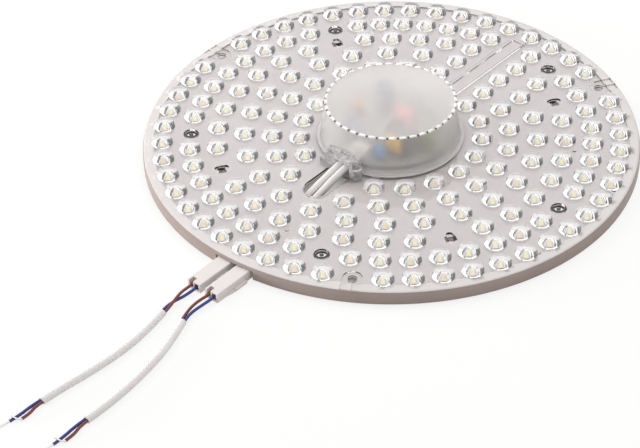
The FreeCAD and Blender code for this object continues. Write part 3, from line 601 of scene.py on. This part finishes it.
def within(points, outline):
    """True where a point is inside the closed outline: crossings of a ray to the right are odd."""
    x, y = points[:, 0:1], points[:, 1:2]
    x0, y0 = outline[:, 0], outline[:, 1]
    x1, y1 = np.roll(x0, -1), np.roll(y0, -1)
    crosses = (y0 > y) != (y1 > y)
    with np.errstate(divide="ignore", invalid="ignore"):
        at = x0 + (y - y0) / (y1 - y0) * (x1 - x0)
    return (np.sum(crosses & (x < at), axis=1) % 2) == 1


rim = circle(0, 0, skirt_radii[-1], 240)
skirt_inner = circle(0, 0, skirt_inner_radius, 240)
rib_outer = circle(0, 0, rib_outer_radius, 180)
rib_inner = circle(0, 0, rib_inner_radius, 180)
window = circle(0, 0, window_radius, 60)
lens_rings = [circle(x, y, lens_radius, lens_sides) for x, y in lens_places]
hollows = [circle(x, y, hollow_radius, hollow_sides) for x, y in lens_places]
post_places = ring_places(post_circle_radius, magnet_angles)
posts = [circle(x, y, post_radius, 28) for x, y in post_places]
cups = [circle(x, y, cup_radius, 28) for x, y in post_places]
screw_holes = [circle(x, y, screw_hole_radius, 16) for x, y in post_places]
hook_slots = [turned(round_slot(9.6, 4.6, hook_circle_radius), a) for a in hook_angles]
finger = (hook_circle_radius - 2.4, hook_circle_radius + 2.4)
fingers = [turned(box_outline(*finger, y, y + 1.05), a) for a in hook_angles for y in (2.35, -3.4)]
tab_angles = np.array([297.0, 57.0, 177.0])
tab_slots = [turned(box_outline(45.4, 47.8, -2.95, 2.95), a) for a in tab_angles]
fixing_places = ring_places(ring_radii[0], fixing_angles)
fixing_holes = [circle(x, y, fixing_hole_radius, 24) for x, y in fixing_places]
half_turn = np.linspace(np.pi / 2, 3 * np.pi / 2, 13)
pocket_end = 6.25
past_rim = skirt_radii[0] + 1.1
pocket = np.column_stack([ring_radii[0] + pocket_end * np.cos(half_turn), pocket_end * np.sin(half_turn)])
pocket = np.vstack([pocket, [(past_rim, -pocket_end), (past_rim, pocket_end)]])
pockets = [turned(pocket, a) for a in fixing_angles]
ribs = [turned(box_outline(153.0, past_rim, -0.65, 0.65), a) for a in fixing_angles]
slot_middle, slot_half, slot_near, slot_far = 0.5, 9.0, -54.0, -75.2
slot_side = slot_half * np.array([-1, -1, 1, 1]) + slot_middle
slot_start = np.column_stack([slot_side, [slot_far, slot_near, slot_near, slot_far]])
t = np.pi * np.arange(1, 16) / 16
slot_end = np.column_stack([slot_middle + slot_half * np.cos(t), slot_far - slot_half * np.sin(t)])
wire_slot = np.vstack([slot_start, slot_end])
channel = box_outline(-5.0, 6.6, 48.4, 141.0)
channel_hollow = box_outline(-3.4, 5.0, 48.4, 139.4)
nub_places = ring_places(1.0, [29.6, 276.7]) * nub_circle_radius
nubs = [circle(x, y, 1.4, 16) for x, y in nub_places]
exit_notch = box_outline(-7.1, 21.9, -166.0, -157.0)
tongue_slot = box_outline(-15.8, -14.0, -50.65, -47.25)
clamp_boss = circle(*clamp_screw_place, 2.7, 20)
clamp_hole = circle(*clamp_screw_place, 1.3, 16)
outlines = [skirt_inner, rib_outer, rib_inner, window, wire_slot, channel, channel_hollow, tongue_slot]
outlines += [clamp_boss, clamp_hole] + lens_rings + hollows + posts + cups + screw_holes + hook_slots
outlines += fingers + tab_slots + fixing_holes + nubs + pockets + ribs + [exit_notch]

# The net: every outline is a closed loop of edges that the triangles keep
loops = [rim] + outlines
counts = np.array([len(loop) for loop in loops])
starts = np.repeat(np.cumsum(counts) - counts, counts)
here = np.arange(counts.sum())
ends = starts + (here - starts + 1) % np.repeat(counts, counts)
made = delaunay_2d_cdt(
    [Vector(p) for p in np.vstack(loops)],
    np.column_stack([here, ends]).tolist(),
    [],
    0,
    1e-5,
)
flat, net = np.array([tuple(v) for v in made[0]]), np.array(made[2])
net = net[within(flat[net].mean(axis=1), rim)]
middle = flat[net].mean(axis=1)
from_lens = np.min(np.linalg.norm(middle[:, None] - lens_places[None], axis=2), axis=1)
under_lens, in_hollow = from_lens < lens_radius - 0.25, from_lens < hollow_radius - 0.16

# Each triangle's heights. A triangle that isn't kept is part of a hole.
top = np.full(len(net), plate_top)
under = np.full(len(net), plate_underside)
kept = np.ones(len(net), bool)
under[within(middle, rib_outer) & ~within(middle, rib_inner)] = board_top
under[~within(middle, skirt_inner)] = skirt_heights[0]
under[~within(middle, skirt_inner) & within(middle, exit_notch)] = skirt_heights[1]
top[within(middle, channel)] = channel_top
under[within(middle, channel_hollow)] = channel_roof
under[within(middle, clamp_boss)] = boss_foot
for line in fingers:
    under[within(middle, line)] = finger_foot
for line in nubs:
    top[within(middle, line)] = nub_top
for line, rib in zip(pockets, ribs):
    top[within(middle, line) & ~within(middle, rib)] = pocket_floor
for post, cup, hole in zip(posts, cups, screw_holes):
    under[within(middle, post)] = post_foot
    top[within(middle, cup)] = cup_floor
    kept[within(middle, hole)] = False
for line in [window, wire_slot, tongue_slot, clamp_hole] + hook_slots + tab_slots + fixing_holes:
    kept[within(middle, line)] = False


def walls(a, b, high, low):
    """Upright quads on the edges a to b, from low to high, that face right of the edge."""
    index = np.column_stack([a, b, b, a]).astype(float)
    return np.stack([index, np.column_stack([low, low, high, high])], axis=-1)


def terraced(flat, net, top, under, kept, no_top, no_under):
    """Top and underside sheets of the net, joined by upright walls wherever the heights change.

    A corner is a net point with a height. The edges of all triangles are sorted by their two
    points, so two equal ones in a row are an edge between two triangles, and a single one lies
    on the rim, where the walls follow the skirt's profile: its outer radius by height.
    """
    a, b = net.ravel(), np.roll(net, -1, axis=1).ravel()
    key = np.minimum(a, b) * len(flat) + np.maximum(a, b)
    order = np.argsort(key, kind="stable")
    a, b, key, owner = a[order], b[order], key[order], order // 3
    first = np.flatnonzero(key[:-1] == key[1:])
    single = np.ones(len(key), bool)
    single[first] = single[first + 1] = False
    single &= kept[owner]
    quads = []
    levels = skirt_heights[::-1]
    for ceiling, ground in zip(levels, levels[1:]):
        high, low = np.minimum(top[owner], ceiling), np.maximum(under[owner], ground)
        tall = single & (high > low + 1e-6)
        quads.append(walls(a[tall], b[tall], high[tall], low[tall]))
    one, two, a, b = owner[first], owner[first + 1], a[first], b[first]
    edge = kept[one] != kept[two]
    solid, swap = np.where(kept[one], one, two), kept[two]
    left, right_side = np.where(swap, b, a), np.where(swap, a, b)
    quads.append(walls(left[edge], right_side[edge], top[solid][edge], under[solid][edge]))
    for height, sign in ((top, 1), (under, -1)):
        rise = sign * (height[one] - height[two])
        step = kept[one] & kept[two] & (np.abs(rise) > 1e-6)
        left, right_side = np.where(rise < 0, b, a), np.where(rise < 0, a, b)
        high, low = np.maximum(height[one], height[two]), np.minimum(height[one], height[two])
        quads.append(walls(left[step], right_side[step], high[step], low[step]))
    lids, grounds = kept & ~no_top, kept & ~no_under
    upper = np.stack([net[lids], np.repeat(top[lids, None], 3, axis=1)], axis=-1)
    lower = np.stack([net[grounds][:, ::-1], np.repeat(under[grounds, None], 3, axis=1)], axis=-1)
    quads, sheets = np.vstack(quads), np.vstack([upper, lower])
    corners = np.round(np.vstack([quads.reshape(-1, 2), sheets.reshape(-1, 2)]), 4)
    corners, index = np.unique(corners, axis=0, return_inverse=True)
    index = index.ravel()
    xy, z = flat[corners[:, 0].astype(int)].copy(), corners[:, 1]
    reach = np.linalg.norm(xy, axis=1)
    on_rim = reach > skirt_radii[-1] - 0.15
    profile = np.interp(z, skirt_heights, skirt_radii)
    xy[on_rim] *= (profile / reach)[on_rim, None]
    split = quads.shape[0] * 4
    return np.column_stack([xy, z]), index[:split].reshape(-1, 4), index[split:].reshape(-1, 3)


def dome(radius, power, base, rise, dip, sides, angles):
    """Rows of a dimpled dome: r = radius cos(v)^power, z = base + rise sin v - dip exp(-(r / 3)^2),
    with a row at each angle v and all points of the last row at the pole."""
    v = np.radians(np.append(angles, 89.9))
    r = radius * np.cos(v) ** power
    z = base + rise * np.sin(v) - dip * np.exp(-((r / 3) ** 2))
    points = revolved(np.column_stack([r, z]), sides)
    points[-sides:, :2] = 0
    return points, band_quads(len(v), sides)


cover_points, cover_quads, cover_sheets = terraced(flat, net, top, under, kept, under_lens, in_hollow)
crown, crown_quads = dome(
    lens_radius, 0.6, plate_top, lens_rise, lens_dip, lens_sides, [0, 14, 28, 42, 58, 74]
)
crown[:lens_sides, 2] = plate_top
hollow, hollow_quads = dome(
    hollow_radius, 1.0, plate_underside, hollow_rise, 0.0, hollow_sides, [0, 30, 60]
)
outer, outer_quads = repeated(crown, crown_quads, lens_places)
inner, inner_quads = repeated(hollow, hollow_quads[:, ::-1], lens_places)
points = np.vstack([cover_points, outer, inner])
outer_quads += len(cover_points)
inner_quads += len(cover_points) + len(outer)
faces = cover_sheets.tolist() + np.vstack([cover_quads, outer_quads, inner_quads]).tolist()
lens_cover = new_piece("clear_cover", points, faces, clear_plastic, ("lens_cover",))
welder = bmesh.new()
welder.from_mesh(lens_cover.data)
bmesh.ops.remove_doubles(welder, verts=welder.verts, dist=2e-6)
welder.to_mesh(lens_cover.data)
welder.free()
lens_cover.data.shade_smooth()
lens_cover.data.set_sharp_from_angle(angle=math.radians(60))

# Material numbers: 0 the plate, 1 the lenses, 2 the matt rim and the cups' floors, 3 the skirt with its
# painted shade
for look in (lens_plastic, rim_plastic, painted_shade_skirt):
    lens_cover.data.materials.append(look)
centre = np.empty(len(lens_cover.data.polygons) * 3)
lens_cover.data.polygons.foreach_get("center", centre)
centre = centre.reshape(-1, 3) * 1000
reach = np.hypot(centre[:, 0], centre[:, 1])
from_lens = np.min(np.linalg.norm(centre[:, None, :2] - lens_places[None], axis=2), axis=1)
number = np.where(reach > rib_inner_radius, 2, 0)
number[(reach > skirt_inner_radius - 0.25) & (centre[:, 2] < 9.6)] = 3
number[(from_lens < lens_radius + 0.1) & (centre[:, 2] > plate_top + 0.05)] = 1
from_post = np.min(np.linalg.norm(centre[:, None, :2] - post_places[None], axis=2), axis=1)
number[(from_post < cup_radius + 0.2) & (centre[:, 2] < cup_floor + 0.1)] = 2
lens_cover.data.polygons.foreach_set("material_index", number)


# Cross recesses: the cross in the head of each magnet screw, made of two crossed dark bars just
# over the head, which are painted shade for the recess's depth.
half_length, half_width, head_top = 1.6, 0.8, 8.22
bar = np.array([(-1, -1, 1), (1, -1, 1), (1, 1, 1), (-1, 1, 1)]) * (half_length, half_width, head_top)
cross = np.vstack([bar, np.column_stack([-bar[:, 1], bar[:, 0], bar[:, 2] + 0.01])])
cross_points, cross_faces = repeated(cross, [(0, 1, 2, 3), (4, 5, 6, 7)], post_places)
recess = finish("recess_shade", (0.03, 0.03, 0.03), (0.06, 0.06, 0.06), (0.4, 0.6), patch=300)
new_piece("screw_crosses", cross_points, cross_faces.tolist(), recess)


# Driver cap: a frosted moulding over the driver, with a thin foot on the lens cover, an arch for
# the cables and a clear toothed ring on its top edge.
frosted = finish(
    "frosted_cap",
    (0.95, 0.935, 0.925),
    (0.92, 0.905, 0.90),
    (0.42, 0.48),
    patch=40,
    grain=2500,
    lift=0.1,
    IOR=1.2,
    Transmission_Weight=0.77,
)
lets_light_through(frosted, 0.85)
polished = finish(
    "polished_teeth",
    (0.97, 0.965, 0.965),
    (0.95, 0.945, 0.945),
    (0.05, 0.15),
    patch=200,
    lift=0.02,
    IOR=1.49,
    Transmission_Weight=0.3,
)
lets_light_through(polished, 0.8)

# The cap's outside from its foot to the pole: radius and height
cap_profile = np.array(
    [
        (45.2, 10.0),
        (48.2, 10.0),
        (48.2, 10.4),
        (47.6, 10.7),
        (46.2, 10.9),
        (45.4, 11.5),
        (45.0, 13.2),
        (44.6, 18.2),
        (44.1, 24.0),
        (43.6, 30.0),
        (43.2, 35.6),
        (43.0, 36.4),
        (42.4, 36.9),
        (41.5, 36.9),
        (36.0, 36.9),
        (24.0, 36.9),
        (10.0, 36.9),
        (0.5, 36.9),
    ]
)
cap_sides, wall_thickness, foot_top = 240, 1.4, 11.0
arch_from, arch_to, arch_top = -93.9, -80.6, 18.2
cap_points = revolved(cap_profile, cap_sides)
cap_quads = band_quads(len(cap_profile), cap_sides)
cap_middle = cap_points[cap_quads].mean(axis=1)
bearing = np.degrees(np.arctan2(cap_middle[:, 1], cap_middle[:, 0]))
arch = (bearing > arch_from) & (bearing < arch_to) & (cap_middle[:, 2] < arch_top)
pole = list(range(len(cap_points) - cap_sides, len(cap_points)))
cap_faces = cap_quads[~arch].tolist() + [pole]
cap = new_piece("frosted_cap", cap_points, cap_faces, frosted, ("driver_cover",), 40)
matt_foot = finish("cap_foot", (0.58, 0.56, 0.56), (0.55, 0.53, 0.53), (0.25, 0.4), Transmission_Weight=0.1)
cap.data.materials.append(matt_foot)
foot = np.append(cap_middle[~arch][:, 2] < foot_top, False)
cap.data.polygons.foreach_set("material_index", foot.astype(int))
wall = cap.modifiers.new("wall", "SOLIDIFY")
wall.thickness = wall_thickness * 0.001
wall.offset = -1


# Toothed ring: clear teeth moulded on the cap's top edge. Small dark discs between them, on the
# edge's outer slope, are painted shade for the pits there.
def spun(points, angles):
    """Points (n, 3) turned about Z by each angle in turn: x cos - y sin, x sin + y cos."""
    c, s = np.cos(angles)[:, None], np.sin(angles)[:, None]
    x, y, z = points.T
    return np.stack([c * x - s * y, s * x + c * y, np.tile(z, (len(angles), 1))], axis=-1).reshape(-1, 3)


tooth_count, tooth_foot = 40, 36.3
tooth_turns = np.radians(360 / tooth_count * np.arange(tooth_count))
tooth_profile = np.array([(43.1, 36.3), (42.95, 37.2), (42.6, 37.45), (41.8, 37.45), (41.3, 36.9)])
across = np.radians([1.6, 2.2, 3.6, 5.4, 6.8, 7.4])[:, None]
height_share = np.array([0.45, 0.85, 1.0, 1.0, 0.85, 0.45])[:, None]
r = tooth_profile[:, 0] + 0 * across
z = tooth_foot + (tooth_profile[:, 1] - tooth_foot) * height_share
tooth = np.stack([r * np.cos(across), r * np.sin(across), z], axis=-1).reshape(-1, 3)
last_point, corners = len(tooth) - 1, len(tooth_profile)
tooth_quads = band_quads(len(across), corners)[:, ::-1]
near_end, far_end = np.arange(corners), np.arange(last_point, last_point - corners, -1)
tooth_faces = copied_faces(tooth_quads, tooth_count, len(tooth)).tolist()
tooth_faces += copied_faces([near_end], tooth_count, len(tooth)).tolist()
tooth_faces += copied_faces([far_end], tooth_count, len(tooth)).tolist()
tooth_points = spun(tooth, tooth_turns)
new_piece("tooth_ring", tooth_points, tooth_faces, polished, ("driver_cover",), 50)
# Painted shade: dark discs that stand for the shade in the pits between the teeth.
pit_shade = finish("pit_shade", (0.05, 0.045, 0.045), (0.09, 0.085, 0.085), (0.3, 0.5), patch=500)
pit_radius, pit_height = 42.75, 36.85
pit_reach, pit_drop, pit_half_width = 0.65, 0.5, 0.8
t = 2 * np.pi * np.arange(8) / 8
pit = [pit_radius + pit_reach * np.cos(t), pit_half_width * np.sin(t), pit_height - pit_drop * np.cos(t)]
pit = np.column_stack(pit)
pit_points = spun(pit, tooth_turns)
pit_faces = copied_faces([np.arange(len(pit))], tooth_count, len(pit)).tolist()
new_piece("tooth_pit_shade", pit_points, pit_faces, pit_shade, ("driver_cover",))

# Snap tabs: three flat tongues under the foot, each through its slot in the lens cover.
tab_outline = box_outline(45.6, 46.8, -2.75, 2.75)
tab = np.vstack([np.column_stack([tab_outline, np.full(4, z)]) for z in (6.1, 10.4)])
tab_quads = np.vstack([[(3, 2, 1, 0)], band_quads(2, 4), [(4, 5, 6, 7)]])
tab_points = spun(tab, np.radians(tab_angles))
tab_faces = copied_faces(tab_quads, len(tab_angles), len(tab)).tolist()
new_piece("snap_tabs", tab_points, tab_faces, frosted, ("driver_cover",))


# Wire clamp: a clear moulded bridge beside the cap. Its tongue hooks into the lens cover and a
# screw holds its other end, so that it presses on both cables.
def round_edges(piece, width):
    """A bevel of that width in millimetres on the sharp edges."""
    bevel = piece.modifiers.new("round_edges", "BEVEL")
    bevel.width = width * 0.001
    bevel.segments = 2
    bevel.limit_method = "ANGLE"
    bevel.angle_limit = math.radians(35)
    bevel.use_clamp_overlap = True


clamp_plastic = finish(
    "clamp_moulding",
    (1.0, 0.99, 0.985),
    (0.42, 0.41, 0.41),
    (0.01, 0.04),
    patch=420,
    lift=0.02,
    IOR=1.52,
    Transmission_Weight=0.65,
)
lets_light_through(clamp_plastic, 0.85)
dress(clamp_plastic, "wire_clamp")
round_edges(nodes_of["wire_clamp"], 0.35)

# Connectors: white nylon shells on the leads, which push over the sockets on the lamp's cables.
# Brass contacts sit in them.
connector_white = finish("connector_nylon", (0.70, 0.65, 0.625), (0.67, 0.62, 0.595), (0.35, 0.5), patch=50)
dress(connector_white, "socket_left", "socket_right", "plug_shell_left", "plug_shell_right")
for side in ("left", "right"):
    round_edges(nodes_of["plug_shell_" + side], 0.25)
contact_metal = finish("contact_metal", (0.75, 0.60, 0.32), (0.68, 0.54, 0.28), (0.25, 0.4), Metallic=1.0)
dress(contact_metal, "plug_contacts_left", "plug_contacts_right")

# Free leads: brown and blue wires from each shell into a soft white jacket, and out of its far
# end, where they are stripped to twisted bare strands. Both leads lie on the table.
wire_radius, strand_radius = 0.95, 0.5
tinned = finish(
    "tinned_strands",
    (0.72, 0.71, 0.69),
    (0.60, 0.59, 0.57),
    (0.3, 0.45),
    patch=400,
    Metallic=1.0,
)
sheath_left = [
    (1.6, -219.5, 2.4), (5.9, -240, 2.4), (7, -263, 2.4),
    (5.2, -286, 2.4), (2.4, -307, 2.4), (1.5, -320, 2.4),
]
sheath_right = [
    (16.8, -218.3, 2.4), (25, -239.5, 2.4), (29.6, -261.5, 2.4),
    (32.3, -283, 2.4), (33.1, -302, 2.4), (32.8, -315, 2.4),
]
near_wires = {
    "brown_left": [
        (-1.9, -186.5, 3.3), (-1.9, -193, 3.3), (-1.2, -200.3, 4.3),
        (0.5, -207.6, 4.0), (1.58, -214.39, 2.4), (2.61, -219.29, 2.4),
    ],
    "blue_left": [
        (2.3, -186.5, 3.3), (2.3, -193, 3.3), (1.2, -200.4, 2.3),
        (-0.8, -207.7, 1.9), (-0.44, -214.81, 2.4), (0.59, -219.71, 2.4),
    ],
    "brown_right": [
        (12.5, -186.5, 3.3), (12.5, -193, 3.3), (12, -200.2, 3.6),
        (12.5, -207.3, 3.2), (14.08, -213.98, 2.4), (15.89, -218.65, 2.4),
    ],
    "blue_right": [
        (16.7, -186.5, 3.3), (16.7, -193, 3.3), (15.9, -200.2, 2.9),
        (15.2, -207.1, 2.5), (15.9, -213.28, 2.4), (17.71, -217.95, 2.4),
    ],
}
tails = {
    "brown_left": [(2.48, -320.07, 2.4), (2.11, -325.5, 2.4), (3.3, -331.2, 1.7), (2.4, -336.4, 1.1)],
    "blue_left": [(0.52, -319.93, 2.4), (0.01, -327.3, 2.4), (-0.4, -335, 1.5), (-1.6, -342.4, 1.0)],
    "brown_right": [(33.78, -315.02, 2.4), (33.64, -321, 2.4), (35.2, -327.2, 1.7), (34.6, -333.3, 1.1)],
    "blue_right": [(31.82, -314.98, 2.4), (31.63, -323.2, 2.4), (31.9, -331.6, 1.6), (31.4, -339.8, 1.0)],
}
strands = {
    "brown_left": [(2.4, -336.4, 1.1), (1.9, -338.2, 1.3), (-0.2, -339.6, 2.6), (-2.2, -340.2, 3.0)],
    "blue_left": [(-1.6, -342.4, 1.0), (-2.1, -345.6, 0.85), (-2.9, -348.7, 0.65)],
    "brown_right": [(34.6, -333.3, 1.1), (34, -335.2, 1.3), (31.9, -336.7, 2.9), (29.9, -337.2, 3.1)],
    "blue_right": [(31.4, -339.8, 1.0), (31.1, -342.8, 0.85), (30.5, -345.8, 0.65)],
}
covers = {"brown": brown_cover, "blue": blue_cover}


for side, route, length in (("left", sheath_left, 0.1012), ("right", sheath_right, 0.0988)):
    on_lead = [nodes_of["plug_shell_" + side], nodes_of["plug_contacts_" + side]]
    for colour in ("brown", "blue"):
        key = colour + "_" + side
        wire_nodes, strand_nodes = (colour + "_wire_" + side,), ("bare_strands_" + side,)
        cover, slot = covers[colour], "wire_" + colour
        near = wire_curve(key + "_near", near_wires[key], wire_radius, cover, wire_nodes)
        tail = wire_curve(key + "_tail", tails[key], wire_radius, cover, wire_nodes)
        bare = wire_curve(key + "_strand", strands[key], strand_radius, tinned, strand_nodes)
        on_lead += [tail, bare]
    jacket_nodes = ("lead_sheath_" + side,)
    sheath = wire_curve("sheath_" + side, route, cable_radius, jacket, jacket_nodes)
